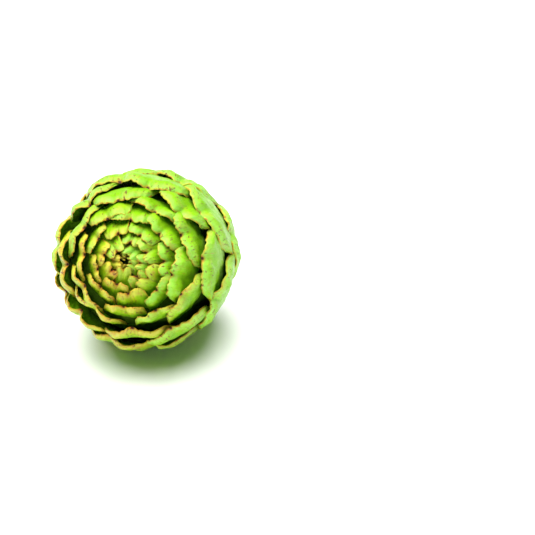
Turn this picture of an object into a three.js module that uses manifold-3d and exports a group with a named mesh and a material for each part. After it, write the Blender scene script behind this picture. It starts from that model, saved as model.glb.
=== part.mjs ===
// A globe artichoke as cut for the kitchen: one head of overlapping bracts on a short leafy stem,
// lying on its side with the crown raised. Millimetres, +Z up, the crown towards -Y.
// The origin lies on the table, under the middle of the whole.
import * as THREE from "three";
import { mergeVertices } from "three/addons/utils/BufferGeometryUtils.js";
import Module from "manifold-3d";

const wasm = await Module();
wasm.setup();

// Head outline, a rounded barrel round the head's own axis, widest at the head's centre
const HEAD_RADIUS = 51.5;
const CROWN_HEIGHT = 64;
const BASE_DEPTH = 43;
const CROWN_POWER = 2.6;
const BASE_POWER = 2.1;
const ROOT_RADIUS = 14.5;

// Pose: how far the axis rises from the table, and how far head and stem are pressed flat on it
const TILT_DEG = 30;
const HEAD_PRESSED = 1.8;
const STEM_PRESSED = 0.9;

// The spiral of bracts, numbered from the crown outwards. The heart leaves have numbers up to 0
const HEART_LEAVES = 4;
const BRACT_COUNT = 50;
const GOLDEN_ANGLE_DEG = 137.508;
const FIRST_AZIMUTH_DEG = 270;
const AZIMUTH_JITTER_DEG = 8;

// Width, length and thickness of the bracts. None reaches further down than the stem
const HALF_WIDTH_FIRST = 5;
const HALF_WIDTH_STEP = 0.45;
const HALF_WIDTH_MOST = 24;
const FULL_GROWN_WIDTH = 18;
const SMALL_TO = 12;
const LARGE_FROM = 30;
const LONG_FROM = 37;
const LENGTH_BASE = 14;
const LENGTH_PER_WIDTH = 1.1;
const THICK_MIDDLE = 1.5;
const THICK_EDGE = 0.85;
const THICK_ROOT = 8;

// Values that change along the spiral, as [bract number, value] pairs
const TIP_WAY = [[-3, 2.8], [0, 4.5], [10, 12.9], [20, 22.8], [30, 35.5], [36, 44.5], [42, 57], [50, 90]];
const LEAN = [[-3, 0.6], [5, 0.7], [20, 0.7], [30, 0.55], [36, 0.26], [42, 0.16], [50, 0.13]];
const CURL_DEPTH = [[-3, 0.4], [20, 1.2], [36, 1.5], [50, 1.7]];
const CURL_REACH = [[-3, 1.5], [20, 3], [36, 4], [50, 5]];
const LIP_ARCH = [[-3, 0.46], [10, 0.48], [20, 0.5], [36, 0.6], [50, 0.62]];
const LOBE_HEIGHT = [[-3, 1], [10, 1.8], [20, 2.2], [30, 2.2], [36, 1.8], [50, 1.4]];
const LIP_SQUARE = [[-3, 3], [10, 3.1], [20, 2.9], [36, 2.5], [50, 2.4]];

// The lip of a bract: an arch with two lobes and a notch between them
const SINK_MOST = 17;
const GATHER_FROM = 0.6;
const GATHER_MOST = 0.7;
const CREASE_DEPTH = 2.2;
const NOTCH_DEPTH = 2.6;

// The solid heart that the bracts grow from, and how deep it lies under the outline
const HEART_DEPTH = 8;
const HEART_DEPTH_BASE = 7;
const HEART_SIDES = 16;
const HEART_RINGS = 7;

// Stem: ribbed, a little wider at the neck under the head, cut straight at its end
const STEM_RADIUS = 10.5;
const NECK_RADIUS = 12;
const NECK_LENGTH = 12;
const STEM_TOP = -34;
const STEM_RIBS = 8;
const RIB_HEIGHT = 0.45;
const STEM_SIDES = 32;
const STEM_RINGS = 6;
const JOINT_GAP = 0.35;

// The two small leaves on the upper side of the stem, and the half width along one of them
const LEAVES = [
  { azimuthDeg: 66, root: -63, length: 26, halfWidth: 4.4, rise: 0.8 },
  { azimuthDeg: 122, root: -55, length: 17, halfWidth: 3.6, rise: 0.7 },
];
const LEAF_OUTLINE = [[0, 0.45], [0.25, 0.6], [0.5, 1], [0.72, 0.9], [0.9, 0.35], [1, 0.08]];
const LEAF_THICK = 1;

const rad = THREE.MathUtils.degToRad;

// The same fraction from 0 to 1 each time for a whole number and a purpose
function chance(index, purpose) {
  const x = Math.sin(index * 12.9898 + purpose * 78.233) * 43758.5453;
  return x - Math.floor(x);
}

const centred = (index, purpose) => 2 * chance(index, purpose) - 1;

const bump = (x, width) => Math.exp(-((x / width) ** 2));

// Straight-line reading of [place, value] pairs
function between(pairs, place) {
  const next = pairs.findIndex(([at]) => at >= place);
  if (next === 0) return pairs[0][1];
  if (next < 0) return pairs[pairs.length - 1][1];
  const [from, low] = pairs[next - 1];
  const [to, high] = pairs[next];
  return low + ((high - low) * (place - from)) / (to - from);
}

// The head outline as points from the crown's pole to the base's pole, with the way run so far
const OUTLINE_STEPS = 720;
const outline = [];
for (let i = 0; i <= OUTLINE_STEPS; i++) {
  const angle = (Math.PI * i) / OUTLINE_STEPS;
  const cosine = Math.cos(angle);
  const power = 2 / (cosine > 0 ? CROWN_POWER : BASE_POWER);
  const r = HEAD_RADIUS * Math.max(0, Math.sin(angle)) ** power;
  const z = cosine > 0 ? CROWN_HEIGHT * cosine ** power : -BASE_DEPTH * (-cosine) ** power;
  const before = outline[i - 1];
  const way = before ? before.way + Math.hypot(r - before.r, z - before.z) : 0;
  outline.push({ r, z, way });
}

const ROOT_WAY = outline.filter((p) => p.z > 0 || p.r > ROOT_RADIUS).pop().way;

// Point and outward normal of the outline at a way from the crown's pole
function outlineAt(way) {
  const last = outline.length - 1;
  const wanted = Math.min(Math.max(way, 0), outline[last].way);
  const next = Math.max(1, outline.findIndex((p) => p.way >= wanted - 1e-9));
  const a = outline[next - 1];
  const b = outline[next];
  const share = (wanted - a.way) / (b.way - a.way);
  const from = outline[Math.max(0, next - 4)];
  const to = outline[Math.min(last, next + 3)];
  const span = Math.hypot(to.r - from.r, to.z - from.z);
  return {
    r: a.r + (b.r - a.r) * share,
    z: a.z + (b.z - a.z) * share,
    normalR: -(to.z - from.z) / span,
    normalZ: (to.r - from.r) / span,
  };
}

// What makes one bract its own: where its tip is, its size and how it is set
function bractNumber(n) {
  const tipShift = centred(n, 7) * Math.min(3, 0.4 + 0.07 * Math.max(n, 0));
  const tipWay = between(TIP_WAY, n) + tipShift;
  const usualWidth = Math.min(HALF_WIDTH_FIRST + HALF_WIDTH_STEP * n, HALF_WIDTH_MOST);
  const halfWidth = usualWidth * (1 + 0.16 * centred(n, 8));
  const azimuth = FIRST_AZIMUTH_DEG - GOLDEN_ANGLE_DEG * n + AZIMUTH_JITTER_DEG * centred(n, 1);
  const toStem = ROOT_WAY - tipWay;
  const short = LENGTH_BASE + LENGTH_PER_WIDTH * halfWidth;
  return {
    n,
    tipWay,
    halfWidth,
    azimuth: rad(azimuth),
    length: n >= LONG_FROM ? toStem : short,
    lean: between(LEAN, n) * (1 + 0.12 * centred(n, 2)),
    curlDepth: between(CURL_DEPTH, n),
    curlReach: between(CURL_REACH, n),
    notchAt: 0.14 * centred(n, 3),
    skew: 0.1 * centred(n, 4),
    grown: Math.min(1, halfWidth / FULL_GROWN_WIDTH),
  };
}

// How far the lip's edge lies below the tip, across the bract
function lipEdge(bract, v) {
  const { n, halfWidth, notchAt, grown, skew } = bract;
  const drop = 1 - Math.sqrt(1 - 0.985 * Math.abs(v) ** between(LIP_SQUARE, n));
  const notch = (0.43 + 0.57 * grown) * NOTCH_DEPTH * bump(v - notchAt, 0.12);
  return between(LIP_ARCH, n) * halfWidth * drop + notch + skew * halfWidth * v;
}

// How near a way is to the stem: 0 down to below the head's middle, then rising smoothly to 1
function nearStem(way) {
  return THREE.MathUtils.smoothstep(way / ROOT_WAY, GATHER_FROM, 1);
}

// A point of a bract. v runs across it from -1 to 1, t from the lip at 0 to the root at 1
function bractPoint(bract, v, t, inner) {
  const { grown } = bract;
  const edge = lipEdge(bract, v);
  const s = bract.length * t + edge * (1 - t) ** 2;
  const fromLip = s - edge;
  const way = bract.tipWay + s;
  const place = outlineAt(way);
  const side = v - bract.notchAt;
  const lobe = bump(Math.abs(side) - 0.48, 0.3) * bump(fromLip - 3.5 * grown, 3 + 5 * grown);
  const crease = bump(side, 0.13) * Math.exp(-fromLip / (4 + 6 * grown));
  const sink = SINK_MOST * (1 - Math.exp((-bract.lean * (s - 0.3 * edge)) / SINK_MOST));
  const curl = bract.curlDepth * Math.exp(-fromLip / bract.curlReach);
  const tuck = 0.6 * grown * Math.abs(v) ** 3;
  const swell = -between(LOBE_HEIGHT, bract.n) * lobe;
  const fold = (0.25 + 0.75 * grown) * CREASE_DEPTH * crease;
  const body = Math.min(1, fromLip / 6) * Math.min(1, 2.5 * (1 - Math.abs(v)));
  const root = Math.max(0, t - 0.14);
  const thick = THICK_EDGE + grown * ((THICK_MIDDLE - THICK_EDGE) * body + THICK_ROOT * root);
  const low = nearStem(way);
  const set = (sink + curl + tuck + swell + fold) * (1 - GATHER_MOST * low);
  const depth = set + (inner ? thick : 0);
  const r = Math.max(0.4, place.r - place.normalR * depth);
  const z = place.z - place.normalZ * depth;
  const widen = 0.84 + 0.16 * Math.sin((Math.min(1, t / 0.4) * Math.PI) / 2);
  const narrow = 1 - 0.35 * Math.max(0, (t - 0.45) / 0.55) ** 1.5;
  const room = 0.45 * r + 3 + 22 * (1 - low);
  const halfHere = Math.min(bract.halfWidth * widen * narrow, room);
  const azimuth = bract.azimuth + (v * halfHere) / Math.hypot(r, 4);
  return new THREE.Vector3(r * Math.cos(azimuth), r * Math.sin(azimuth), z);
}

// A closed sheet between two grids of points that have the same rows and columns
function sheetGeometry(outer, inner) {
  const rows = outer.length;
  const columns = outer[0].length;
  const points = [...outer.flat(), ...inner.flat()];
  const at = (layer, i, j) => (layer * rows + i) * columns + j;
  const index = [];
  const quad = (a, b, c, d) => index.push(a, b, c, a, c, d);
  for (let i = 0; i + 1 < rows; i++)
    for (let j = 0; j + 1 < columns; j++) {
      quad(at(0, i, j), at(0, i + 1, j), at(0, i + 1, j + 1), at(0, i, j + 1));
      index.push(at(1, i, j), at(1, i + 1, j + 1), at(1, i + 1, j));
      index.push(at(1, i, j), at(1, i, j + 1), at(1, i + 1, j + 1));
    }
  const bottom = rows - 1;
  for (let j = 0; j + 1 < columns; j++) {
    quad(at(0, 0, j), at(0, 0, j + 1), at(1, 0, j + 1), at(1, 0, j));
    quad(at(0, bottom, j + 1), at(0, bottom, j), at(1, bottom, j), at(1, bottom, j + 1));
  }
  const right = columns - 1;
  for (let i = 0; i + 1 < rows; i++) {
    quad(at(0, i + 1, 0), at(0, i, 0), at(1, i, 0), at(1, i + 1, 0));
    quad(at(0, i, right), at(0, i + 1, right), at(1, i + 1, right), at(1, i, right));
  }
  return new THREE.BufferGeometry().setFromPoints(points).setIndex(index);
}

// A closed geometry as a solid that can be joined and cut
function solidOf(geometry) {
  const plain = geometry.clone();
  plain.deleteAttribute("normal");
  plain.deleteAttribute("uv");
  const merged = mergeVertices(plain, 1e-4);
  const vertProperties = merged.attributes.position.array;
  const triVerts = new Uint32Array(merged.index.array);
  return new wasm.Manifold(new wasm.Mesh({ numProp: 3, vertProperties, triVerts }));
}

function geometryOf(solid) {
  const mesh = solid.getMesh();
  return new THREE.BufferGeometry()
    .setAttribute("position", new THREE.BufferAttribute(mesh.vertProperties, 3))
    .setIndex(new THREE.BufferAttribute(mesh.triVerts, 1));
}

// The largest body of a solid: sealed hollows are filled and loose scraps dropped
function oneBody(solid) {
  const bodies = solid.decompose().filter((body) => body.volume() > 0);
  return bodies.reduce((a, b) => (a.volume() > b.volume() ? a : b));
}

function bractSolid(bract) {
  const { notchAt, n } = bract;
  const small = [-1, -0.5, notchAt, 0.5, 1];
  const large = [-1, -0.8, -0.45, notchAt, 0.45, 0.8, 1];
  const columns = n < LARGE_FROM ? small : large;
  const rows = n < SMALL_TO ? [0, 0.3, 1] : [0, 0.14, 0.48, 1];
  const grid = (inner) => rows.map((t) => columns.map((v) => bractPoint(bract, v, t, inner)));
  return solidOf(sheetGeometry(grid(false), grid(true)));
}

// The heart: a turned solid under the bracts, ending flat where the stem meets it
function heartSolid() {
  const profile = [new THREE.Vector2(0, CROWN_HEIGHT - HEART_DEPTH)];
  for (let i = 1; i <= HEART_RINGS; i++) {
    const share = i / HEART_RINGS;
    const place = outlineAt(ROOT_WAY * share);
    const low = Math.max(0, (share - 0.55) / 0.45);
    const depth = HEART_DEPTH + (HEART_DEPTH_BASE - HEART_DEPTH) * low;
    const r = place.r - place.normalR * depth;
    profile.push(new THREE.Vector2(r, place.z - place.normalZ * depth));
  }
  profile.push(new THREE.Vector2(0, profile[profile.length - 1].y));
  return solidOf(new THREE.LatheGeometry(profile.reverse(), HEART_SIDES).rotateX(Math.PI / 2));
}

// Room left for the stem's neck in the underside of the head
function neckRoom() {
  const radius = NECK_RADIUS + JOINT_GAP;
  const room = new THREE.CylinderGeometry(radius, radius, 30, STEM_SIDES);
  return solidOf(room.rotateX(Math.PI / 2).translate(0, 0, STEM_TOP - 15));
}

// The ribbed stem, from just under the head to its cut end
function stemSolid(end) {
  const top = STEM_TOP - JOINT_GAP;
  const profile = [new THREE.Vector2(0, end)];
  for (let i = 0; i <= STEM_RINGS; i++) {
    const y = end + ((top - end) * i) / STEM_RINGS;
    const neck = Math.max(0, 1 - (top - y) / NECK_LENGTH);
    profile.push(new THREE.Vector2(STEM_RADIUS + (NECK_RADIUS - STEM_RADIUS) * neck ** 2, y));
  }
  profile.push(new THREE.Vector2(0, top));
  const geometry = new THREE.LatheGeometry(profile, STEM_SIDES).rotateX(Math.PI / 2);
  const points = geometry.attributes.position;
  for (let i = 0; i < points.count; i++) {
    const x = points.getX(i);
    const y = points.getY(i);
    const wide = Math.hypot(x, y);
    const rib = wide > 1 ? 1 - (RIB_HEIGHT * (1 - Math.cos(STEM_RIBS * Math.atan2(y, x)))) / wide : 1;
    points.setXY(i, x * rib, y * rib);
  }
  return solidOf(geometry);
}

// A point of a leaf. v runs across it from -1 to 1, t from its root in the stem to its tip
function leafPoint(leaf, v, t, below) {
  const half = leaf.halfWidth * between(LEAF_OUTLINE, t);
  const out = STEM_RADIUS - 4 + 0.8 * leaf.length * t - (below ? 0 : 0.6 * LEAF_THICK);
  const up = leaf.root + leaf.length * leaf.rise * t ** 1.5 + 0.25 * half * v * v - (below ? 0.8 * LEAF_THICK : 0);
  return new THREE.Vector3(out, v * half, up).applyAxisAngle(new THREE.Vector3(0, 0, 1), rad(leaf.azimuthDeg));
}

function leafSolid(leaf) {
  const rows = LEAF_OUTLINE.map(([t]) => t);
  const grid = (below) => rows.map((t) => [-1, -0.5, 0, 0.5, 1].map((v) => leafPoint(leaf, v, t, below)));
  return solidOf(sheetGeometry(grid(false), grid(true)));
}

// Everything under the level of the table
function underTable(level) {
  return solidOf(new THREE.BoxGeometry(400, 400, 100).translate(0, 0, level - 50));
}

const tilted = (solid) => solid.rotate([90 - TILT_DEG, 0, 0]);

const bracts = [];
for (let n = 1 - HEART_LEAVES; n <= BRACT_COUNT; n++) bracts.push(bractNumber(n));

let head = heartSolid();
for (const bract of bracts) head = head.add(bractSolid(bract));
head = tilted(oneBody(head.subtract(neckRoom())));
const level = head.boundingBox().min[2] + HEAD_PRESSED;
head = oneBody(head.subtract(underTable(level)));

// The stem is cut so long that its end rests on the table too
const tilt = rad(TILT_DEG);
const stemEnd = (level + STEM_RADIUS * Math.cos(tilt) - STEM_PRESSED) / Math.sin(tilt);
let stem = stemSolid(stemEnd);
for (const leaf of LEAVES) stem = stem.add(leafSolid(leaf));
stem = oneBody(tilted(stem).subtract(underTable(level)));

const whole = head.add(stem).boundingBox();
const middle = new THREE.Vector3(
  (whole.min[0] + whole.max[0]) / 2,
  (whole.min[1] + whole.max[1]) / 2,
  level,
);

const bractGreen = new THREE.MeshStandardMaterial({ color: 0xa8c040, roughness: 0.5, metalness: 0 });
const stemGreen = new THREE.MeshStandardMaterial({ color: 0xa9bf68, roughness: 0.6, metalness: 0 });

function named(name, solid, material) {
  const mesh = new THREE.Mesh(geometryOf(solid), material);
  mesh.name = name;
  return mesh;
}

const artichoke = new THREE.Group();
artichoke.name = "artichoke";
artichoke.add(named("head", head, bractGreen), named("stem", stem, stemGreen));
artichoke.position.copy(middle).negate();

export default artichoke;
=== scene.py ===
"""A globe artichoke as cut for the kitchen, lying on a pale table in soft studio light."""
import math
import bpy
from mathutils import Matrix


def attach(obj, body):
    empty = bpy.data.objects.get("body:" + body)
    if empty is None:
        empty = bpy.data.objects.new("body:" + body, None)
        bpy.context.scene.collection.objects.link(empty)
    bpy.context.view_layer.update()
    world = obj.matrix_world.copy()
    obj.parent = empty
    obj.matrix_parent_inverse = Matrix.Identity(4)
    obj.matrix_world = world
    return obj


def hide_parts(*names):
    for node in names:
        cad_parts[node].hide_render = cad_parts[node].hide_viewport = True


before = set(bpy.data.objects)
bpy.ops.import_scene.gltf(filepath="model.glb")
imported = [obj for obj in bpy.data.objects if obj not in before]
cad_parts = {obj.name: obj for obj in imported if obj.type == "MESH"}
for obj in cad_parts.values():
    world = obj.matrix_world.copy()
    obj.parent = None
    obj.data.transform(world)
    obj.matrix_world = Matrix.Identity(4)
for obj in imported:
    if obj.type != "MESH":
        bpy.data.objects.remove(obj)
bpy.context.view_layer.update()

from types import SimpleNamespace

import bpy
import numpy as np
from mathutils import Matrix, Vector

MM = 0.001

# Head outline in millimetres, a rounded barrel round the head's own axis
HEAD_RADIUS = 51.5
CROWN_HEIGHT = 64.0
BASE_DEPTH = 43.0
CROWN_POWER = 2.6
BASE_POWER = 2.1
OUTLINE_POINTS = 2001
LEAST_RADIUS = 0.4
ROOT_RADIUS = 14.5

# How the head lies: its axis rises from the table, its middle is here, and its lowest bracts are pressed
TILT_DEG = 30.0
HEAD_CENTRE = (-0.81, -2.37, 45.24)
PRESS_SOFTNESS = 0.7

# The spiral of bracts, numbered from the crown outwards, with the smallest heart leaves up to 0
FIRST_BRACT = -7
LAST_BRACT = 50
GOLDEN_ANGLE_DEG = 137.508
FIRST_AZIMUTH_DEG = 270.0
AZIMUTH_SCATTER_DEG = 8.0

# The bracts in four meshes: name, first and last bract, points across and down each bract
BRACT_MESHES = (
    ("inner_bracts", FIRST_BRACT, 14, 45, 29),
    ("middle_bracts", 15, 35, 55, 35),
    ("outer_bracts", 36, 43, 89, 51),
    ("basal_bracts", 44, LAST_BRACT, 89, 51),
)

# The heart is less regular: its bracts lie deeper, cross the pole and lean aside
HEART_TO = 6
HEART_FADE = 10
HEART_SINK = 0.45
HEART_CROSSING = 2.6
HEART_SCATTER = 1.4

# One side of the head is more tanned than the other, and its outer bracts stand off further
TANNED_SIDE_DEG = 225.0
TAN_USUAL = 0.38
TAN_OF_HEART = 0.15
TAN_OF_HEART_TO = 20
TAN_OF_SIDE = 0.50
TAN_OF_SIDE_AT_HEART = 0.5
TAN_OF_SIDE_FULL_AT = 15
TAN_SCATTER = 0.25
LOOSENESS = 0.3
LOOSENESS_FROM = 10
LOOSENESS_FULL_AFTER = 25
LOOSENESS_LEAST = 0.3

# How far the tips stray along the outline, and the notches and slants across, from bract to bract
TIP_SCATTER_FIRST = 0.4
TIP_SCATTER_STEP = 0.07
TIP_SCATTER_MOST = 3.0
NOTCH_SCATTER = 0.14
SLANT_SCATTER = 0.10

# Width, length and thickness of the bracts
HALF_WIDTH_FIRST = 5.0
HALF_WIDTH_STEP = 0.45
HALF_WIDTH_MOST = 24.0
HALF_WIDTH_SCATTER = 0.16
FULL_GROWN_WIDTH = 18.0
LONG_FROM = 37
LENGTH_BASE = 14.0
LENGTH_PER_WIDTH = 1.9
THICK_SMALL = 0.8
THICK_GROWN = 1.7
THIN_EDGE = 0.55
THIN_WITHIN = 6.0

# Width down a bract, as shares: it widens below the lip and narrows to its root
WIDTH_AT_LIP = 0.84
WIDEST_AT = 0.4
NARROWS_FROM = 0.45
NARROWS_BY = 0.35

# Values that change along the spiral, given at these bracts
ALONG = (-7, 0, 10, 20, 30, 36, 42, 50)
TIP_WAY = (1.5, 4.5, 12.9, 22.8, 35.5, 44.5, 57.0, 90.0)
LEAN = (0.80, 0.90, 1.05, 0.95, 0.65, 0.28, 0.16, 0.13)
HOOK_SLOPE = (0.60, 0.70, 0.90, 0.75, 0.55, 0.46, 0.44, 0.42)
HOOK_REACH = (1.5, 2.0, 2.6, 3.4, 4.2, 5.2, 6.0, 6.4)
LOBES = (0.9, 1.0, 1.2, 1.1, 0.85, 0.65, 0.55, 0.5)
LIP_ARCH = (0.46, 0.46, 0.52, 0.64, 0.85, 1.00, 1.05, 1.05)
LIP_SQUARE = (3.0, 3.0, 2.9, 2.5, 2.0, 1.8, 1.75, 1.75)

# How the bracts sink under each other, gather at the neck and stay straight near the head's axis
LEAN_SCATTER = 0.25
SINK_MOST = 18.0
GATHER_FROM = 0.6
GATHER_MOST = 0.7
STRAIGHT_WITHIN = 8.0
STRAIGHT_WIDTH = 1.1
AXIS_SOFTNESS = 4.0
HALF_WIDTH_PER_RADIUS = 0.45
HALF_WIDTH_AT_NECK = 3.0
HALF_WIDTH_UPPER = 22.0

# Lip relief in millimetres: what every bract has, and what a full-grown one has on top of it
NOTCH_DEPTH = (1.1, 1.5)
HOOK_SOFTNESS = (0.6, 1.2)
LOBE_LENGTH = (3.0, 5.0)
LOBE_HEIGHT = (0.6, 2.2)
LOBE_DOWN = (0.0, 3.5)
CREASE_LENGTH = (4.0, 6.0)
CREASE_DEPTH = (0.5, 1.7)

# Lip shape across a bract, where its half width is 1
ARCH_FULLNESS = 0.985
NOTCH_WIDTH_MM = 1.6
NOTCH_WIDTH_LEAST = 0.03
NOTCH_SHARPNESS = 1.3
LOBE_AT = 0.48
LOBE_WIDTH = 0.30
CREASE_WIDTH = 0.13
TUCKED_SIDES = 0.6

# Waves of a full-grown bract: height, pace of the first sine across it, step to the next, their fall
WAVES = dict(
    edge_waves=(0.60, 5.5, 4.3, 0.6),
    edge_crinkles=(0.24, 24, 11, 0.8),
    ripples=(0.45, 3.3, 2.9, 0.6),
    crinkles=(0.20, 14, 9, 0.7),
    dents=(0.22, 2.0, 1.1, 0.8),
)
RIPPLES_WITHIN = 9.0
CRINKLES_WITHIN = 2.5

# Points of a bract are closer near its edges, and its marks are measured from here
SIDE_CROWDING = 0.35
LIP_CROWDING = 1.6
SIDE_MARGIN = 0.9
SPINE_BELOW_LIP = 0.3
GRAIN_APART = 37.0

# The core that the bracts grow from, and how deep it lies under the outline
CORE_DEPTH = 11.0
CORE_DEPTH_BASE = 7.0
CORE_SIDES = 96
CORE_RINGS = 60
CORE_UNEVENNESS = 0.012

# Stem: ribbed, a little wider at the neck under the head, cut straight at its end
STEM_RADIUS = 10.5
NECK_RADIUS = 13.4
NECK_LENGTH = 14.0
NECK_END = -55.0
STEM_TOP = -30.0
STEM_END = -74.0
STEM_CORNER = 0.7
STEM_SIDES = 180
AXIS_RADIUS = 0.02

# Ribs round the stem, and finer and finest ridges between them
STEM_RIBS = 8
RIB_HEIGHT = 0.45
FINE_RIDGES = 41
FINE_HEIGHT = 0.10
FINEST_RIDGES = 67
FINEST_HEIGHT = 0.06

# The cut end swells a little in its middle and along a ring near its edge
CUT_SWELL = 0.35
CUT_SWELL_WITHIN = 5.0
CUT_RING_RADIUS = 8.2
CUT_RING_SWELL = 0.2
CUT_RING_WIDTH = 0.7

# The two small leaves on the upper side of the stem
STEM_LEAVES = (
    dict(azimuth=66.0, root=-63.0, length=26.0, half_width=4.4, rise=0.8),
    dict(azimuth=122.0, root=-55.0, length=17.0, half_width=3.6, rise=0.7),
)
LEAF_ALONG = (0.0, 0.25, 0.5, 0.72, 0.9, 1.0)
LEAF_WIDTHS = (0.45, 0.6, 1.0, 0.9, 0.35, 0.06)
LEAF_THICK = 1.0
LEAF_REACH = 0.8
LEAF_FOLD = 0.25
LEAF_RIPPLE = 0.25
LEAF_SWAY = 0.6

# The camera, as far round and above as the photograph's, with a square frame. It is metres away
FRAME_PIXELS = 535
CAMERA_AZIMUTH_DEG = 14.0
CAMERA_HEIGHT_DEG = 30.5
CAMERA_AWAY = 0.7
PIXELS_PER_UNIT = 1250.0
HEAD_PIXELS_RIGHT = -117.0
HEAD_PIXELS_UP = 8.0
SENSOR_MM = 36.0
AIM_ROUNDS = 6

# The key light, a wide soft light from overhead, and the dimmer surroundings above a bright horizon
KEY_STRENGTH = 6.9
KEY_WIDTH_DEG = 62.0
KEY_DIRECTION = (0.10, 0.03, -1.0)
HORIZON_BRIGHT_TO = 0.10
HORIZON_DIM_FROM = 0.22
HORIZON_STRENGTH = 1.0
OVERHEAD_STRENGTH = 0.06

# Half the side of the table top, in metres
FLOOR_HALF = 3.0

# Keys of the numbers that differ from bract to bract, where a kind of wave also takes the next ones
KEYS = dict(
    azimuth=1, lean=2, notch=3, slant=4, tan=5, tip=7, width=8, lean_x=11, lean_y=12,
    edge_waves=20, ripples=40, edge_crinkles=60, crinkles=80, dents=100, dent_start=120,
)


def chance(index, purpose, further=0):
    """A number from 0 to 1 that differs for each index and purpose but is the same each time."""
    x = math.sin(index * 12.9898 + (KEYS[purpose] + further) * 78.233) * 43758.5453
    return x - math.floor(x)


def centred(index, purpose, further=0):
    return 2 * chance(index, purpose, further) - 1


def smooth(x):
    x = np.clip(x, 0, 1)
    return x * x * (3 - 2 * x)


def bump(x, width):
    return np.exp(-(x / width) ** 2)


def along_spiral(values, n):
    return float(np.interp(n, ALONG, values))


def sized(pair, grown):
    return pair[0] + pair[1] * grown


# The head outline, from the crown's pole to the base's pole
def head_outline():
    angle = np.linspace(0, math.pi, OUTLINE_POINTS)
    cosine = np.cos(angle)
    power = np.where(cosine > 0, 2 / CROWN_POWER, 2 / BASE_POWER)
    height = np.where(cosine > 0, CROWN_HEIGHT, BASE_DEPTH)
    r = HEAD_RADIUS * np.clip(np.sin(angle), 0, None) ** power
    z = height * np.sign(cosine) * np.abs(cosine) ** power
    way = np.concatenate([[0], np.cumsum(np.hypot(np.diff(r), np.diff(z)))])
    slope_r = np.gradient(r, way)
    slope_z = np.gradient(z, way)
    span = np.hypot(slope_r, slope_z)
    return SimpleNamespace(r=r, z=z, way=way, normal_r=-slope_z / span, normal_z=slope_r / span)


OUTLINE = head_outline()
ROOT_WAY = float(OUTLINE.way[np.where((OUTLINE.z < 0) & (OUTLINE.r > ROOT_RADIUS))[0][-1]])


def under_outline(way, depth):
    """Radius and height of points at a way along the outline and a depth under it."""
    r = np.interp(way, OUTLINE.way, OUTLINE.r)
    z = np.interp(way, OUTLINE.way, OUTLINE.z)
    normal_r = np.interp(way, OUTLINE.way, OUTLINE.normal_r)
    normal_z = np.interp(way, OUTLINE.way, OUTLINE.normal_z)
    return np.maximum(LEAST_RADIUS, r - normal_r * depth), z - normal_z * depth


# What makes one bract its own
def on_tanned_side(azimuth):
    """From 1 in the middle of the tanned side to -1 opposite it."""
    return math.cos(azimuth - math.radians(TANNED_SIDE_DEG))


def tanned(n, azimuth):
    """How yellow a bract is: the heart is a little tanned, and the outer bracts on one side."""
    usual = TAN_USUAL + TAN_OF_HEART * max(0.0, 1 - n / TAN_OF_HEART_TO)
    outward = (1 - TAN_OF_SIDE_AT_HEART) * max(n, 0) / TAN_OF_SIDE_FULL_AT
    share = min(1.0, TAN_OF_SIDE_AT_HEART + outward)
    tan = usual + TAN_OF_SIDE * on_tanned_side(azimuth) * share + TAN_SCATTER * centred(n, "tan")
    return min(1.0, max(0.0, tan))


def loosened(n, azimuth):
    """How much further a bract stands off than usual: the outer ones do so on the tanned side."""
    share = min(1.0, max(LOOSENESS_LEAST, (n - LOOSENESS_FROM) / LOOSENESS_FULL_AFTER))
    return LOOSENESS * on_tanned_side(azimuth) * share


def heart_shift(n, azimuth):
    """How far a bract of the heart leans over the crown's pole, and to one side."""
    share = min(1.0, max(0.0, (HEART_TO - n) / HEART_FADE))
    over = -HEART_CROSSING * share
    aside = HEART_SCATTER * share
    x = over * math.cos(azimuth) + aside * centred(n, "lean_x")
    y = over * math.sin(azimuth) + aside * centred(n, "lean_y")
    return np.array([x, y, 0.0])


def bract_number(n):
    """One bract of the spiral: where its tip is, its size and how it is set."""
    tip_scatter = min(TIP_SCATTER_MOST, TIP_SCATTER_FIRST + TIP_SCATTER_STEP * max(n, 0))
    tip_way = along_spiral(TIP_WAY, n) + centred(n, "tip") * tip_scatter
    usual_width = min(HALF_WIDTH_FIRST + HALF_WIDTH_STEP * n, HALF_WIDTH_MOST)
    half_width = usual_width * (1 + HALF_WIDTH_SCATTER * centred(n, "width"))
    azimuth_deg = FIRST_AZIMUTH_DEG - GOLDEN_ANGLE_DEG * n + AZIMUTH_SCATTER_DEG * centred(n, "azimuth")
    azimuth = math.radians(azimuth_deg)
    to_stem = ROOT_WAY - tip_way
    short = min(LENGTH_BASE + LENGTH_PER_WIDTH * half_width, to_stem)
    return SimpleNamespace(
        n=n,
        tip_way=tip_way,
        half_width=half_width,
        azimuth=azimuth,
        length=to_stem if n >= LONG_FROM else short,
        notch_at=NOTCH_SCATTER * centred(n, "notch"),
        slant=SLANT_SCATTER * centred(n, "slant"),
        grown=min(1.0, half_width / FULL_GROWN_WIDTH),
        tan=tanned(n, azimuth),
        loose=1 + loosened(n, azimuth),
        aside=heart_shift(n, azimuth),
    )


# The shape of one bract. Across it runs from -1 to 1, and lengths are in millimetres
def waves(n, kind, across):
    """A wavy line of four sines that differs for each bract and kind of wave."""
    height, first, step, fall = WAVES[kind]
    total = np.zeros_like(across)
    for k in range(4):
        pitch = first + step * k + centred(n, kind, k)
        start = 2 * math.pi * chance(n, kind, 10 + k)
        total += fall ** k * np.sin(pitch * across + start)
    return height * total


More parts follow.
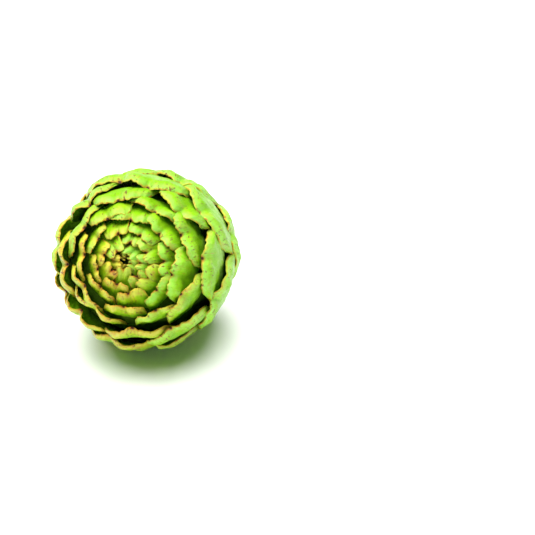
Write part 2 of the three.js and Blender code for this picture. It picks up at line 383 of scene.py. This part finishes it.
def lip_edge(bract, across):
    """How far the lip's edge lies below the tip, across the bract."""
    square = along_spiral(LIP_SQUARE, bract.n)
    arch = 1 - np.sqrt(1 - ARCH_FULLNESS * np.abs(across) ** square)
    arch *= along_spiral(LIP_ARCH, bract.n) * bract.half_width
    notch_width = NOTCH_WIDTH_MM / bract.half_width + NOTCH_WIDTH_LEAST
    notch = np.exp(-np.abs((across - bract.notch_at) / notch_width) ** NOTCH_SHARPNESS)
    notch *= sized(NOTCH_DEPTH, bract.grown)
    uneven = waves(bract.n, "edge_waves", across) + waves(bract.n, "edge_crinkles", across)
    return arch + notch + bract.grown * uneven + bract.slant * bract.half_width * across


def lip_hook(bract, from_lip):
    """How far the lip bends in over the bracts inside it."""
    softness = sized(HOOK_SOFTNESS, bract.grown)
    reach = along_spiral(HOOK_REACH, bract.n)
    bend = np.log1p(np.exp(np.clip((reach - from_lip) / softness, -30, 30)))
    return along_spiral(HOOK_SLOPE, bract.n) * softness * bend


def lobes_and_crease(bract, across, from_lip):
    """The two rounded lobes of a lip, raised, and the crease between them, sunk."""
    grown = bract.grown
    side = across - bract.notch_at
    lobes = bump(from_lip - sized(LOBE_DOWN, grown), sized(LOBE_LENGTH, grown))
    lobes = along_spiral(LOBES, bract.n) * bump(np.abs(side) - LOBE_AT, LOBE_WIDTH) * lobes
    crease = bump(side, CREASE_WIDTH) * np.exp(-from_lip / sized(CREASE_LENGTH, grown))
    return sized(CREASE_DEPTH, grown) * crease - sized(LOBE_HEIGHT, grown) * lobes


def uneven_face(bract, across, from_lip):
    """Ripples and crinkles near the lip, tucked sides and shallow dents of a full-grown bract."""
    ripples = waves(bract.n, "ripples", across) * np.exp(-from_lip / RIPPLES_WITHIN)
    crinkles = waves(bract.n, "crinkles", across) * np.exp(-from_lip / CRINKLES_WITHIN)
    slanting = 0.16 * bract.half_width * across + 0.05 * from_lip
    down = 0.45 * from_lip + 3 * across + 6 * chance(bract.n, "dent_start")
    dents = waves(bract.n, "dents", slanting) * np.sin(down)
    return ripples + crinkles + dents + TUCKED_SIDES * np.abs(across) ** 3


def bract_depth(bract, across, s, edge, low):
    """How deep the outer face lies under the head outline."""
    from_lip = s - edge
    lean = along_spiral(LEAN, bract.n) * (1 + LEAN_SCATTER * centred(bract.n, "lean")) * bract.loose
    sink = SINK_MOST * (1 - np.exp(-(s - 0.3 * edge) * lean / SINK_MOST))
    relief = lip_hook(bract, from_lip) + lobes_and_crease(bract, across, from_lip)
    relief = relief + bract.grown * uneven_face(bract, across, from_lip)
    return (sink + relief) * (1 - GATHER_MOST * low) + HEART_SINK * max(0, 1 - bract.n)


def thickness(bract, margin):
    """The thickness of a bract, less near its edge, and how far each face is rounded off there."""
    thick = THICK_SMALL + (THICK_GROWN - THICK_SMALL) * bract.grown
    thick = thick * (THIN_EDGE + (1 - THIN_EDGE) * np.clip(margin / THIN_WITHIN, 0, 1))
    round_off = 0.5 * thick
    missing = np.clip(1 - margin / round_off, 0, 1)
    return thick, round_off * (1 - np.sqrt(np.clip(1 - missing * missing, 0, 1)))


def half_width_along(bract, t):
    """Half the width of a bract, from t = 0 at its lip to t = 1 at its root."""
    widen = WIDTH_AT_LIP + (1 - WIDTH_AT_LIP) * np.sin(np.minimum(1, t / WIDEST_AT) * math.pi / 2)
    narrow = 1 - NARROWS_BY * np.clip((t - NARROWS_FROM) / (1 - NARROWS_FROM), 0, 1) ** 1.5
    return bract.half_width * widen * narrow


def set_round_axis(bract, across, half_here, low, way, depth):
    """Points of one face of a bract, wrapped round the head but straight near its axis."""
    r, z = under_outline(way, depth)
    room = HALF_WIDTH_PER_RADIUS * r + HALF_WIDTH_AT_NECK + HALF_WIDTH_UPPER * (1 - low)
    half = np.minimum(half_here, room)
    azimuth = bract.azimuth + across * half / np.hypot(r, AXIS_SOFTNESS)
    wrapped = np.stack([r * np.cos(azimuth), r * np.sin(azimuth), z], -1)
    outward = np.array([math.cos(bract.azimuth), math.sin(bract.azimuth), 0.0])
    sideways = np.array([-math.sin(bract.azimuth), math.cos(bract.azimuth), 0.0])
    straight = r[..., None] * outward + (STRAIGHT_WIDTH * across * half)[..., None] * sideways
    straight[..., 2] = z
    share = bump(r, STRAIGHT_WITHIN)[..., None]
    return wrapped * (1 - share) + (straight + bract.aside) * share


def bract_marks(bract, across, half_here, margin, from_lip):
    """What the colours follow: distances from the edge, lip and spine, the tan and the grain."""
    side = (across - bract.notch_at) * half_here
    return {
        "margin": margin,
        "from_lip": from_lip,
        "spine": np.hypot(side, from_lip - SPINE_BELOW_LIP) + 0.25 * max(0, 3 - bract.n),
        "tan": np.full_like(across, bract.tan),
        "grain": np.stack([side, from_lip, np.full_like(across, GRAIN_APART * bract.n)], -1),
    }


def bract_surface(bract, columns, rows):
    """Outer and inner points of a bract on a grid, closer near its edges, and its marks."""
    even = np.linspace(-1, 1, columns)
    crowded = SIDE_CROWDING * np.sin(even * math.pi / 2) + (1 - SIDE_CROWDING) * even
    across, t = np.meshgrid(crowded, np.linspace(0, 1, rows) ** LIP_CROWDING)
    edge = lip_edge(bract, across)
    s = bract.length * t + edge * (1 - t) ** 2
    way = bract.tip_way + s
    low = smooth((way / ROOT_WAY - GATHER_FROM) / (1 - GATHER_FROM))
    depth = bract_depth(bract, across, s, edge, low)
    margin = np.minimum(s - edge, (1 - np.abs(across)) * bract.half_width * SIDE_MARGIN)
    thick, rounding = thickness(bract, margin)
    half_here = half_width_along(bract, t)
    outer = set_round_axis(bract, across, half_here, low, way, depth + rounding)
    inner = set_round_axis(bract, across, half_here, low, way, depth + (thick - rounding))
    return outer, inner, bract_marks(bract, across, half_here, margin, s - edge)


# Meshes
LAY_DOWN = np.array(Matrix.Rotation(math.radians(90 - TILT_DEG), 3, "X"))


def laid_down(points):
    """Points of the upright head, in millimetres, where they lie on the table, in metres."""
    placed = np.asarray(points, float) @ LAY_DOWN.T + np.array(HEAD_CENTRE)
    z = placed[:, 2]
    placed[:, 2] = 0.5 * (z + np.sqrt(z * z + PRESS_SOFTNESS ** 2))
    return placed * MM


def add_marks(mesh, marks):
    """Gives each point of a mesh the numbers and vectors that its colours follow."""
    for key, values in marks.items():
        if values.ndim == 2:
            mesh.attributes.new(key, "FLOAT_VECTOR", "POINT").data.foreach_set("vector", values.ravel())
        else:
            mesh.attributes.new(key, "FLOAT", "POINT").data.foreach_set("value", values)


def mesh_piece(name, points, faces, material, node, marks):
    """A smooth mesh of four-sided faces that stands for a part of a node."""
    mesh = bpy.data.meshes.new(name)
    mesh.vertices.add(len(points))
    mesh.vertices.foreach_set("co", laid_down(points).ravel())
    mesh.loops.add(faces.size)
    mesh.loops.foreach_set("vertex_index", faces.ravel().astype(np.int32))
    mesh.polygons.add(len(faces))
    mesh.polygons.foreach_set("loop_start", np.arange(0, faces.size, 4, dtype=np.int32))
    mesh.update(calc_edges=True)
    mesh.validate()
    mesh.shade_smooth()
    add_marks(mesh, marks)
    mesh.materials.append(material)
    piece = bpy.data.objects.new(name, mesh)
    bpy.context.collection.objects.link(piece)
    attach(piece, "root")
    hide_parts(node)


def closed_sheet(rows, columns):
    """Faces of a closed sheet between two grids of points."""
    at = np.arange(rows * columns).reshape(rows, columns)
    m = rows * columns
    a, b = at[:-1, :-1].ravel(), at[1:, :-1].ravel()
    c, d = at[1:, 1:].ravel(), at[:-1, 1:].ravel()
    faces = [np.stack([a, b, c, d], 1), np.stack([a, d, c, b], 1) + m]
    top, bottom = at[0], at[-1][::-1]
    left, right = at[:, 0][::-1], at[:, -1]
    for line in (top, right, bottom, left):
        faces.append(np.stack([line[:-1], line[1:], line[1:] + m, line[:-1] + m], 1))
    return np.concatenate(faces)


def join_sheets(sheets):
    """Points, faces and marks of several sheets as one mesh."""
    points, faces, marks, start = [], [], {}, 0
    for outer, inner, given in sheets:
        rows, columns = outer.shape[:2]
        points += [outer.reshape(-1, 3), inner.reshape(-1, 3)]
        faces.append(closed_sheet(rows, columns) + start)
        start += 2 * rows * columns
        for key, values in given.items():
            flat = values.reshape(-1, 3) if values.ndim == 3 else values.ravel()
            marks.setdefault(key, []).extend([flat, flat])
    joined = {key: np.concatenate(parts).astype(np.float32) for key, parts in marks.items()}
    return np.concatenate(points), np.concatenate(faces), joined


def turned(r, z, sides, shape):
    """Points and faces of a closed turned form with uneven sides, its ends drawn in to the axis."""
    angle = np.linspace(0, 2 * math.pi, sides, endpoint=False)
    radius = np.repeat(np.asarray(r)[:, None], sides, 1)
    height = np.repeat(np.asarray(z)[:, None], sides, 1)
    turn = np.repeat(angle[None, :], len(r), 0)
    radius = shape(radius, height, turn)
    points = np.stack([radius * np.cos(turn), radius * np.sin(turn), height], -1)
    at = np.arange(len(r) * sides).reshape(len(r), sides)
    after = np.roll(at, -1, 1)
    faces = np.stack([at[:-1].ravel(), at[1:].ravel(), after[1:].ravel(), after[:-1].ravel()], 1)
    return points.reshape(-1, 3), faces


# Bracts and core
def bracts_piece(name, numbers, columns, rows, material):
    sheets = [bract_surface(bract_number(n), columns, rows) for n in numbers]
    points, faces, marks = join_sheets(sheets)
    mesh_piece(name, points, faces, material, "head", marks)


def core_shape(radius, height, turn):
    return radius * (1 + CORE_UNEVENNESS * np.sin(13 * turn + height * 0.4))


def core_piece(material):
    """The heart under the bracts, from the pit at the crown to the neck."""
    share = np.linspace(0.02, 1, CORE_RINGS)
    depth = CORE_DEPTH + (CORE_DEPTH_BASE - CORE_DEPTH) * np.clip((share - 0.6) / 0.4, 0, 1)
    r, z = under_outline(ROOT_WAY * share, depth)
    r = np.concatenate([[AXIS_RADIUS], r, [AXIS_RADIUS]])
    z = np.concatenate([[z[0] + 0.2], z, [z[-1]]])
    points, faces = turned(r, z, CORE_SIDES, core_shape)
    mesh_piece("core", points, faces, material, "head", {})


# The stem and its leaves
def stem_profile():
    """Radius and height down the stem, round its lower corner and in across the cut end."""
    z = np.linspace(STEM_TOP, STEM_END + STEM_CORNER, 90)
    r = STEM_RADIUS + (NECK_RADIUS - STEM_RADIUS) * smooth((z - NECK_END) / NECK_LENGTH)
    turn = np.linspace(0, math.pi / 2, 6)[1:]
    corner_r = STEM_RADIUS - STEM_CORNER * (1 - np.cos(turn))
    corner_z = STEM_END + STEM_CORNER * (1 - np.sin(turn))
    face_r = np.linspace(STEM_RADIUS - STEM_CORNER, AXIS_RADIUS, 26)[1:]
    swell = CUT_SWELL * bump(face_r, CUT_SWELL_WITHIN)
    face_z = STEM_END + swell + CUT_RING_SWELL * bump(face_r - CUT_RING_RADIUS, CUT_RING_WIDTH)
    r = np.concatenate([[AXIS_RADIUS], r, corner_r, face_r])
    z = np.concatenate([[STEM_TOP], z, corner_z, face_z])
    return r, z


def stem_shape(radius, height, turn):
    """Ribs, finer ridges between them and a slight unevenness along the stem."""
    outside = smooth((radius - 7) / 3)
    ribs = -RIB_HEIGHT * (1 - np.cos(STEM_RIBS * turn + 0.02 * height))
    fine = FINE_HEIGHT * np.sin(FINE_RIDGES * turn + 0.5 * np.sin(height * 0.11))
    finest = FINEST_HEIGHT * np.sin(FINEST_RIDGES * turn + height * 0.05)
    uneven = 0.18 * np.sin(height * 0.35 + 2 * turn) + 0.12 * np.sin(height * 0.8 + 5 * turn)
    return radius + outside * (ribs + fine + finest + uneven)


def stem_piece(material):
    r, z = stem_profile()
    points, faces = turned(r, z, STEM_SIDES, stem_shape)
    turn = np.arctan2(points[:, 1], points[:, 0])
    wide = np.hypot(points[:, 0], points[:, 1])
    cut = (points[:, 2] < STEM_END + STEM_CORNER + 0.02) & (wide < STEM_RADIUS - 0.3)
    marks = {
        "cut": cut.astype(np.float32),
        "wide": wide.astype(np.float32),
        "grain": np.stack([np.sin(turn) * 12, np.cos(turn) * 12, points[:, 2]], -1).astype(np.float32),
        "down": (STEM_TOP - points[:, 2]).astype(np.float32),
    }
    mesh_piece("stem", points, faces, material, "stem", marks)


def leaf_surface(leaf, number):
    """Upper and lower points of a small stem leaf, folded along its middle, its tip curled."""
    across, t = np.meshgrid(np.linspace(-1, 1, 25), np.linspace(0, 1, 60))
    half = leaf["half_width"] * np.interp(t, LEAF_ALONG, LEAF_WIDTHS)
    half = half * (1 + 0.05 * np.sin(9 * t + number) * np.sign(across))
    out = STEM_RADIUS - 4 + LEAF_REACH * leaf["length"] * t
    up = leaf["root"] + leaf["length"] * leaf["rise"] * t ** 1.5
    fold = LEAF_FOLD * half * across ** 2 + LEAF_FOLD * bump(across, 0.12) * (1 - t)
    ripple = LEAF_RIPPLE * np.sin(11 * t + 2 * across + number) * np.abs(across) * smooth(t * 3)
    sideways = across * half + LEAF_SWAY * np.sin(3 * t + number) * t
    thick = LEAF_THICK * (0.35 + 0.65 * np.sqrt(1 - 0.97 * across ** 2))
    angle = math.radians(leaf["azimuth"])
    x = out * math.cos(angle) - sideways * math.sin(angle)
    y = out * math.sin(angle) + sideways * math.cos(angle)
    upper = np.stack([x, y, up + fold + ripple], -1)
    lower = np.stack([x, y, up + fold + ripple - thick], -1)
    marks = {
        "margin": (1 - np.abs(across)) * half,
        "along": t,
        "grain": np.stack([sideways, t * leaf["length"], np.full_like(t, 50.0 + number)], -1),
    }
    return upper, lower, marks


def stem_leaves_piece(material):
    sheets = [leaf_surface(leaf, number) for number, leaf in enumerate(STEM_LEAVES)]
    points, faces, marks = join_sheets(sheets)
    mesh_piece("stem_leaves", points, faces, material, "stem", marks)


# Materials
SPECULAR_LEVEL = 0.17


class Surface:
    """Short calls that build the nodes of one material."""

    def __init__(self, name):
        self.material = bpy.data.materials.new(name)
        self.material.use_nodes = True
        self.tree = self.material.node_tree
        self.shader = self.tree.nodes["Principled BSDF"]
        self.shader.inputs["Specular IOR Level"].default_value = SPECULAR_LEVEL

    def put(self, socket, value):
        if isinstance(value, bpy.types.NodeSocket):
            self.tree.links.new(value, socket)
        elif socket.type == "RGBA":
            socket.default_value = (*value, 1)
        else:
            socket.default_value = value

    def mark(self, name, kind="Fac"):
        """A number, or with kind Vector a vector, that the points of the mesh carry."""
        node = self.tree.nodes.new("ShaderNodeAttribute")
        node.attribute_name = name
        return node.outputs[kind]

    def place(self):
        return self.tree.nodes.new("ShaderNodeNewGeometry").outputs["Position"]

    def math(self, operation, a, b=0.0):
        node = self.tree.nodes.new("ShaderNodeMath")
        node.operation = operation
        self.put(node.inputs[0], a)
        self.put(node.inputs[1], b)
        return node.outputs[0]

    def plus(self, a, b):
        return self.math("ADD", a, b)

    def minus(self, a, b):
        return self.math("SUBTRACT", a, b)

    def times(self, a, b):
        return self.math("MULTIPLY", a, b)

    def fade(self, value, low, high, start=0.0, end=1.0):
        """Runs smoothly from start at low to end at high."""
        node = self.tree.nodes.new("ShaderNodeMapRange")
        node.interpolation_type = "SMOOTHSTEP"
        self.put(node.inputs["Value"], value)
        for key, number in zip(("From Min", "From Max", "To Min", "To Max"), (low, high, start, end)):
            node.inputs[key].default_value = number
        return node.outputs["Result"]

    def mix(self, share, below, above):
        """The colour above, laid over the colour below by a share."""
        node = self.tree.nodes.new("ShaderNodeMix")
        node.data_type = "RGBA"
        self.put(node.inputs["Factor"], share)
        self.put(node.inputs[6], below)
        self.put(node.inputs[7], above)
        return node.outputs[2]

    def stretch(self, vector, scale):
        node = self.tree.nodes.new("ShaderNodeVectorMath")
        node.operation = "MULTIPLY"
        self.put(node.inputs[0], vector)
        node.inputs[1].default_value = scale
        return node.outputs[0]

    def noise(self, vector, scale, detail=3.0, roughness=0.55):
        """Cloudy noise, at one scale or stretched by a scale for each direction."""
        if isinstance(scale, tuple):
            vector, scale = self.stretch(vector, scale), 1.0
        node = self.tree.nodes.new("ShaderNodeTexNoise")
        self.put(node.inputs["Vector"], vector)
        node.inputs["Scale"].default_value = scale
        node.inputs["Detail"].default_value = detail
        node.inputs["Roughness"].default_value = roughness
        return node.outputs["Fac"]

    def dots(self, vector, scale, inside, outside):
        """Scattered dots: 1 within the inside distance of their middles, 0 from the outside one."""
        node = self.tree.nodes.new("ShaderNodeTexVoronoi")
        self.put(node.inputs["Vector"], self.stretch(vector, scale))
        node.inputs["Scale"].default_value = 1.0
        return self.fade(node.outputs["Distance"], inside, outside, 1.0, 0.0)

    def finish(self, colour, roughness, height, strength, depth_mm):
        """Colour, roughness and fine relief go to the shader."""
        self.put(self.shader.inputs["Base Color"], colour)
        self.put(self.shader.inputs["Roughness"], roughness)
        node = self.tree.nodes.new("ShaderNodeBump")
        node.inputs["Strength"].default_value = strength
        node.inputs["Distance"].default_value = depth_mm * MM
        self.put(node.inputs["Height"], height)
        self.put(self.shader.inputs["Normal"], node.outputs["Normal"])
        return self.material


# Skin of the bracts, with colours as linear red, green and blue
FRESH_GREEN = (0.29, 0.60, 0.003)
TANNED_GREEN = (0.49, 0.53, 0.004)
DEEP_GREEN = (0.20, 0.48, 0.005)
MOTTLED_GREEN = (0.15, 0.40, 0.002)
VEIN_GREEN = (0.38, 0.70, 0.02)
PALE_BLOOM = (0.50, 0.66, 0.24)
# Pale cream of the lips: partly their own colour, partly a painted highlight
FRESH_LIP_AND_HIGHLIGHT = (0.31, 0.66, 0.080)
TANNED_LIP_AND_HIGHLIGHT = (0.57, 0.53, 0.060)
TAN_PATCH = (0.52, 0.29, 0.05)
BROWN_STREAK = (0.36, 0.16, 0.03)
EDGE_BAND = (0.62, 0.43, 0.03)
EDGE_LINE = (0.42, 0.15, 0.015)
BROWN_SCAR = (0.17, 0.055, 0.020)
DARK_SPECK = (0.11, 0.03, 0.012)
DARK_BEAD = (0.13, 0.035, 0.012)
SPINE_HALO = (0.50, 0.14, 0.015)
SPINE_POINT = (0.06, 0.014, 0.008)


def bract_fields(s):
    """The marks of the bracts and what several of their colours share."""
    grain = s.mark("grain", "Vector")
    from_lip = s.mark("from_lip")
    return SimpleNamespace(
        grain=grain,
        from_lip=from_lip,
        margin=s.mark("margin"),
        tan=s.mark("tan"),
        spine=s.mark("spine"),
        clouds=s.noise(grain, 0.45, 4),
        veins=s.noise(grain, (2.6, 0.10, 1.0), 2),
        near_lip=s.fade(from_lip, 2.0, 11.0, 1.0, 0.0),
        bruised=s.fade(s.noise(grain, 0.09, 2), 0.45, 0.62),
    )


def green_skin(s, on):
    """Green, yellower where tanned, deeper below the lip, with veins and a pale bloom far down."""
    below_lip = s.plus(on.from_lip, s.times(s.noise(on.grain, 0.11, 3), 12.0))
    pale = s.mix(s.fade(on.tan, 0.1, 0.85), FRESH_GREEN, TANNED_GREEN)
    skin = s.mix(s.fade(below_lip, 4.0, 16.0), pale, DEEP_GREEN)
    skin = s.mix(s.fade(on.clouds, 0.35, 0.75, 0.0, 0.45), skin, MOTTLED_GREEN)
    skin = s.mix(s.fade(on.veins, 0.45, 0.75, 0.0, 0.30), skin, VEIN_GREEN)
    bloom = s.fade(s.noise(on.grain, (0.30, 0.05, 1.0), 3), 0.45, 0.65)
    bloom = s.times(bloom, s.fade(on.from_lip, 14.0, 34.0))
    return s.mix(s.times(bloom, 0.55), skin, PALE_BLOOM)


def pale_lips_and_highlight(s, on, skin):
    # The lips turn pale cream towards their edge, partly their own colour and partly a painted highlight
    lip = s.plus(on.from_lip, s.times(on.clouds, 6.0))
    cream = s.mix(s.fade(on.tan, 0.15, 0.85), FRESH_LIP_AND_HIGHLIGHT, TANNED_LIP_AND_HIGHLIGHT)
    return s.mix(s.fade(lip, 4.0, 9.0, 0.85, 0.0), skin, cream)


def tan_patches(s, on, skin):
    """Tan patches near the lips, and brown streaks along the bracts."""
    patches = s.fade(s.noise(on.grain, (0.16, 0.22, 1.0), 4, 0.65), 0.52, 0.64)
    patches = s.times(s.times(patches, on.near_lip), s.fade(on.tan, 0.1, 0.9, 0.35, 0.8))
    skin = s.mix(patches, skin, TAN_PATCH)
    streaks = s.fade(s.noise(on.grain, (0.9, 0.07, 1.0), 4, 0.6), 0.60, 0.70)
    streaks = s.times(streaks, s.fade(on.from_lip, 6.0, 30.0, 1.0, 0.3))
    return s.mix(s.times(streaks, 0.55), skin, BROWN_STREAK)


def brown_edges(s, on, skin):
    """A soft yellow-brown band along the edge, and a thin broken brown line at its very rim."""
    band = s.plus(on.margin, s.times(on.clouds, -2.2))
    skin = s.mix(s.fade(band, -1.1, 0.0, 0.50, 0.0), skin, EDGE_BAND)
    line = s.plus(on.margin, s.times(s.noise(on.grain, 0.35, 3), -1.5))
    line = s.fade(line, -0.85, -0.15, 0.9, 0.0)
    broken = s.fade(s.noise(on.grain, 0.22, 3), 0.42, 0.58, 0.15, 1.0)
    return s.mix(s.times(line, broken), skin, EDGE_LINE)


def scar_mask(s, on):
    """Scars, most of them near the lips and where the head is bruised."""
    scars = s.plus(s.noise(on.grain, (0.85, 0.32, 1.0), 5, 0.7), s.times(on.bruised, 0.055))
    return s.times(s.fade(scars, 0.61, 0.65), s.fade(on.from_lip, 4.0, 16.0, 1.0, 0.15))


def specks_and_beads(s, on, skin):
    """Dark specks on bruised lips, and dark beads along the edges."""
    specks = s.dots(on.grain, (0.30, 0.30, 1.0), 0.05, 0.11)
    skin = s.mix(s.times(specks, s.times(on.near_lip, on.bruised)), skin, DARK_SPECK)
    beads = s.dots(on.grain, (0.26, 0.02, 1.0), 0.09, 0.20)
    return s.mix(s.times(beads, s.fade(on.margin, 0.5, 1.5, 0.85, 0.0)), skin, DARK_BEAD)


def spine_points(s, on, skin):
    """The dark point in the notch of each lip, with a brown halo."""
    skin = s.mix(s.fade(on.spine, 0.6, 2.6, 0.65, 0.0), skin, SPINE_HALO)
    return s.mix(s.fade(on.spine, 0.5, 1.2, 0.97, 0.0), skin, SPINE_POINT)


def bract_material():
    """Yellow-green skin with brown lips, tan patches, scars and fine veins along the bract."""
    s = Surface("bract_skin")
    on = bract_fields(s)
    scars = scar_mask(s, on)
    skin = green_skin(s, on)
    skin = pale_lips_and_highlight(s, on, skin)
    skin = tan_patches(s, on, skin)
    skin = brown_edges(s, on, skin)
    skin = s.mix(s.times(scars, 0.90), skin, BROWN_SCAR)
    skin = specks_and_beads(s, on, skin)
    skin = spine_points(s, on, skin)
    pores = s.noise(on.grain, 3.2, 2)
    height = s.plus(s.times(on.veins, 0.8), s.times(pores, 0.35))
    height = s.minus(height, s.times(scars, 0.6))
    return s.finish(skin, s.fade(on.clouds, 0.3, 0.7, 0.30, 0.46), height, 0.55, 0.5)


# Painted shade on the core: near-black green, so the gaps between the bracts look shadowed
CORE_SHADE_DARK = (0.03, 0.08, 0.003)
CORE_SHADE_LIGHT = (0.09, 0.18, 0.012)


def core_shade_material():
    # The core shows only in the gaps between bracts; its dark colour is painted shade there, not the
    # flesh's own colour
    s = Surface("core_painted_shade")
    clouds = s.noise(s.place(), 180.0, 4)
    skin = s.mix(clouds, CORE_SHADE_DARK, CORE_SHADE_LIGHT)
    return s.finish(skin, s.fade(clouds, 0.3, 0.7, 0.5, 0.7), clouds, 0.5, 0.8)


# Skin and cut end of the stem
STEM_GREEN = (0.24, 0.42, 0.06)
STEM_PALE = (0.48, 0.66, 0.20)
STEM_CLOUD = (0.42, 0.56, 0.15)
STEM_SCRAPE = (0.24, 0.13, 0.045)
STEM_DRY = (0.40, 0.30, 0.10)
PITH_DARK = (0.42, 0.40, 0.17)
PITH_LIGHT = (0.66, 0.66, 0.38)
PITH_RING = (0.24, 0.32, 0.07)
PITH_RING_RADIUS = 8.3


def cut_end(s, pith):
    """Pale pith with a greener ring near its edge."""
    end = s.mix(pith, PITH_DARK, PITH_LIGHT)
    off_ring = s.math("ABSOLUTE", s.minus(s.mark("wide"), PITH_RING_RADIUS))
    return s.mix(s.fade(off_ring, 0.2, 1.1, 0.85, 0.0), end, PITH_RING)


def stem_material():
    """Pale green ribs with long fibres, a few brown scrapes and a paler cut end."""
    s = Surface("stem_skin")
    grain = s.mark("grain", "Vector")
    fibres = s.noise(s.stretch(grain, (1.0, 1.0, 0.06)), 1.6, 4)
    clouds = s.noise(grain, 0.14, 3)
    pith = s.noise(grain, 0.9, 4)
    skin = s.mix(fibres, STEM_GREEN, STEM_PALE)
    skin = s.mix(s.fade(clouds, 0.35, 0.7, 0.0, 0.5), skin, STEM_CLOUD)
    scrapes = s.fade(s.noise(grain, (0.5, 0.5, 0.16), 5, 0.7), 0.62, 0.70)
    skin = s.mix(s.times(scrapes, 0.6), skin, STEM_SCRAPE)
    skin = s.mix(s.fade(s.mark("down"), 44.0, 48.6, 0.0, 0.55), skin, STEM_DRY)
    skin = s.mix(s.mark("cut"), skin, cut_end(s, pith))
    height = s.plus(s.times(fibres, 0.8), s.times(pith, 0.3))
    return s.finish(skin, s.fade(clouds, 0.3, 0.7, 0.45, 0.62), height, 0.6, 0.7)


# Skin of the stem's leaves
LEAF_GREEN = (0.16, 0.40, 0.035)
LEAF_PALE = (0.38, 0.62, 0.12)
LEAF_FOOT = (0.46, 0.22, 0.14)
LEAF_EDGE = (0.36, 0.24, 0.08)
LEAF_TIP = (0.24, 0.13, 0.05)


def stem_leaf_material():
    """Veined green, reddish at the foot, with brown edges and a dry brown tip."""
    s = Surface("stem_leaf_skin")
    along = s.mark("along")
    veins = s.noise(s.mark("grain", "Vector"), (1.8, 0.25, 1.0), 4)
    skin = s.mix(veins, LEAF_GREEN, LEAF_PALE)
    skin = s.mix(s.fade(along, 0.05, 0.35, 0.75, 0.0), skin, LEAF_FOOT)
    skin = s.mix(s.fade(s.mark("margin"), 0.1, 0.7, 0.7, 0.0), skin, LEAF_EDGE)
    skin = s.mix(s.fade(along, 0.86, 1.0, 0.0, 0.8), skin, LEAF_TIP)
    return s.finish(skin, s.fade(veins, 0.3, 0.7, 0.42, 0.6), veins, 0.6, 0.5)


# Paint of the table
TABLE_WHITE = (0.90, 0.90, 0.90)
TABLE_WHITER = (0.92, 0.92, 0.92)


def floor_material():
    s = Surface("pale_table")
    clouds = s.noise(s.place(), 30.0, 3)
    paint = s.mix(clouds, TABLE_WHITE, TABLE_WHITER)
    return s.finish(paint, s.fade(clouds, 0.3, 0.7, 0.75, 0.85), clouds, 0.02, 0.2)


# Camera, floor and light
def looking_from(azimuth_deg, height_deg, away, target):
    azimuth = math.radians(azimuth_deg)
    height = math.radians(height_deg)
    level = math.cos(height)
    direction = Vector((math.sin(azimuth) * level, -math.cos(azimuth) * level, math.sin(height)))
    return target + direction * away


def facing(direction):
    """The turn of a camera or lamp that faces a direction, upright."""
    return direction.to_track_quat("-Z", "Y")


def add_camera():
    """Sees the head's middle at its place in the photograph's frame, aimed in a few rounds."""
    target = Vector(HEAD_CENTRE) * MM
    camera = bpy.data.objects.new("camera", bpy.data.cameras.new("camera"))
    bpy.context.collection.objects.link(camera)
    camera.location = looking_from(CAMERA_AZIMUTH_DEG, CAMERA_HEIGHT_DEG, CAMERA_AWAY, target)
    camera.data.sensor_width = SENSOR_MM
    camera.data.lens = PIXELS_PER_UNIT / FRAME_PIXELS * SENSOR_MM
    aim = target.copy()
    for _ in range(AIM_ROUNDS):
        turn = facing(aim - camera.location)
        right = turn @ Vector((1, 0, 0))
        up = turn @ Vector((0, 1, 0))
        shift = right * HEAD_PIXELS_RIGHT + up * HEAD_PIXELS_UP
        aim = target - shift * (CAMERA_AWAY / PIXELS_PER_UNIT)
    camera.rotation_euler = facing(aim - camera.location).to_euler()
    bpy.context.scene.camera = camera


def add_floor():
    corners = [(-1, -1), (1, -1), (1, 1), (-1, 1)]
    mesh = bpy.data.meshes.new("floor")
    mesh.from_pydata([(x * FLOOR_HALF, y * FLOOR_HALF, 0) for x, y in corners], [], [(0, 1, 2, 3)])
    mesh.materials.append(floor_material())
    floor = bpy.data.objects.new("floor", mesh)
    bpy.context.collection.objects.link(floor)


def add_surroundings():
    """White surroundings, bright at the horizon and dim overhead."""
    world = bpy.data.worlds.new("studio")
    bpy.context.scene.world = world
    world.use_nodes = True
    nodes = world.node_tree.nodes
    links = world.node_tree.links
    background = nodes["Background"]
    background.inputs["Color"].default_value = (1, 1, 1, 1)
    direction = nodes.new("ShaderNodeTexCoord")
    parts = nodes.new("ShaderNodeSeparateXYZ")
    links.new(direction.outputs["Generated"], parts.inputs[0])
    rise = nodes.new("ShaderNodeMapRange")
    rise.inputs["From Min"].default_value = HORIZON_BRIGHT_TO
    rise.inputs["From Max"].default_value = HORIZON_DIM_FROM
    rise.inputs["To Min"].default_value = HORIZON_STRENGTH
    rise.inputs["To Max"].default_value = OVERHEAD_STRENGTH
    links.new(parts.outputs["Z"], rise.inputs["Value"])
    links.new(rise.outputs["Result"], background.inputs["Strength"])


def add_key_light():
    key = bpy.data.lights.new("key", "SUN")
    key.energy = KEY_STRENGTH
    key.angle = math.radians(KEY_WIDTH_DEG)
    lamp = bpy.data.objects.new("key", key)
    bpy.context.collection.objects.link(lamp)
    lamp.rotation_euler = facing(Vector(KEY_DIRECTION)).to_euler()


# The whole scene
add_camera()
bract_skin = bract_material()
for name, first, last, columns, rows in BRACT_MESHES:
    bracts_piece(name, range(first, last + 1), columns, rows, bract_skin)
core_piece(core_shade_material())
stem_piece(stem_material())
stem_leaves_piece(stem_leaf_material())
add_floor()
add_surroundings()
add_key_light()
bpy.context.scene.view_settings.view_transform = "Standard"
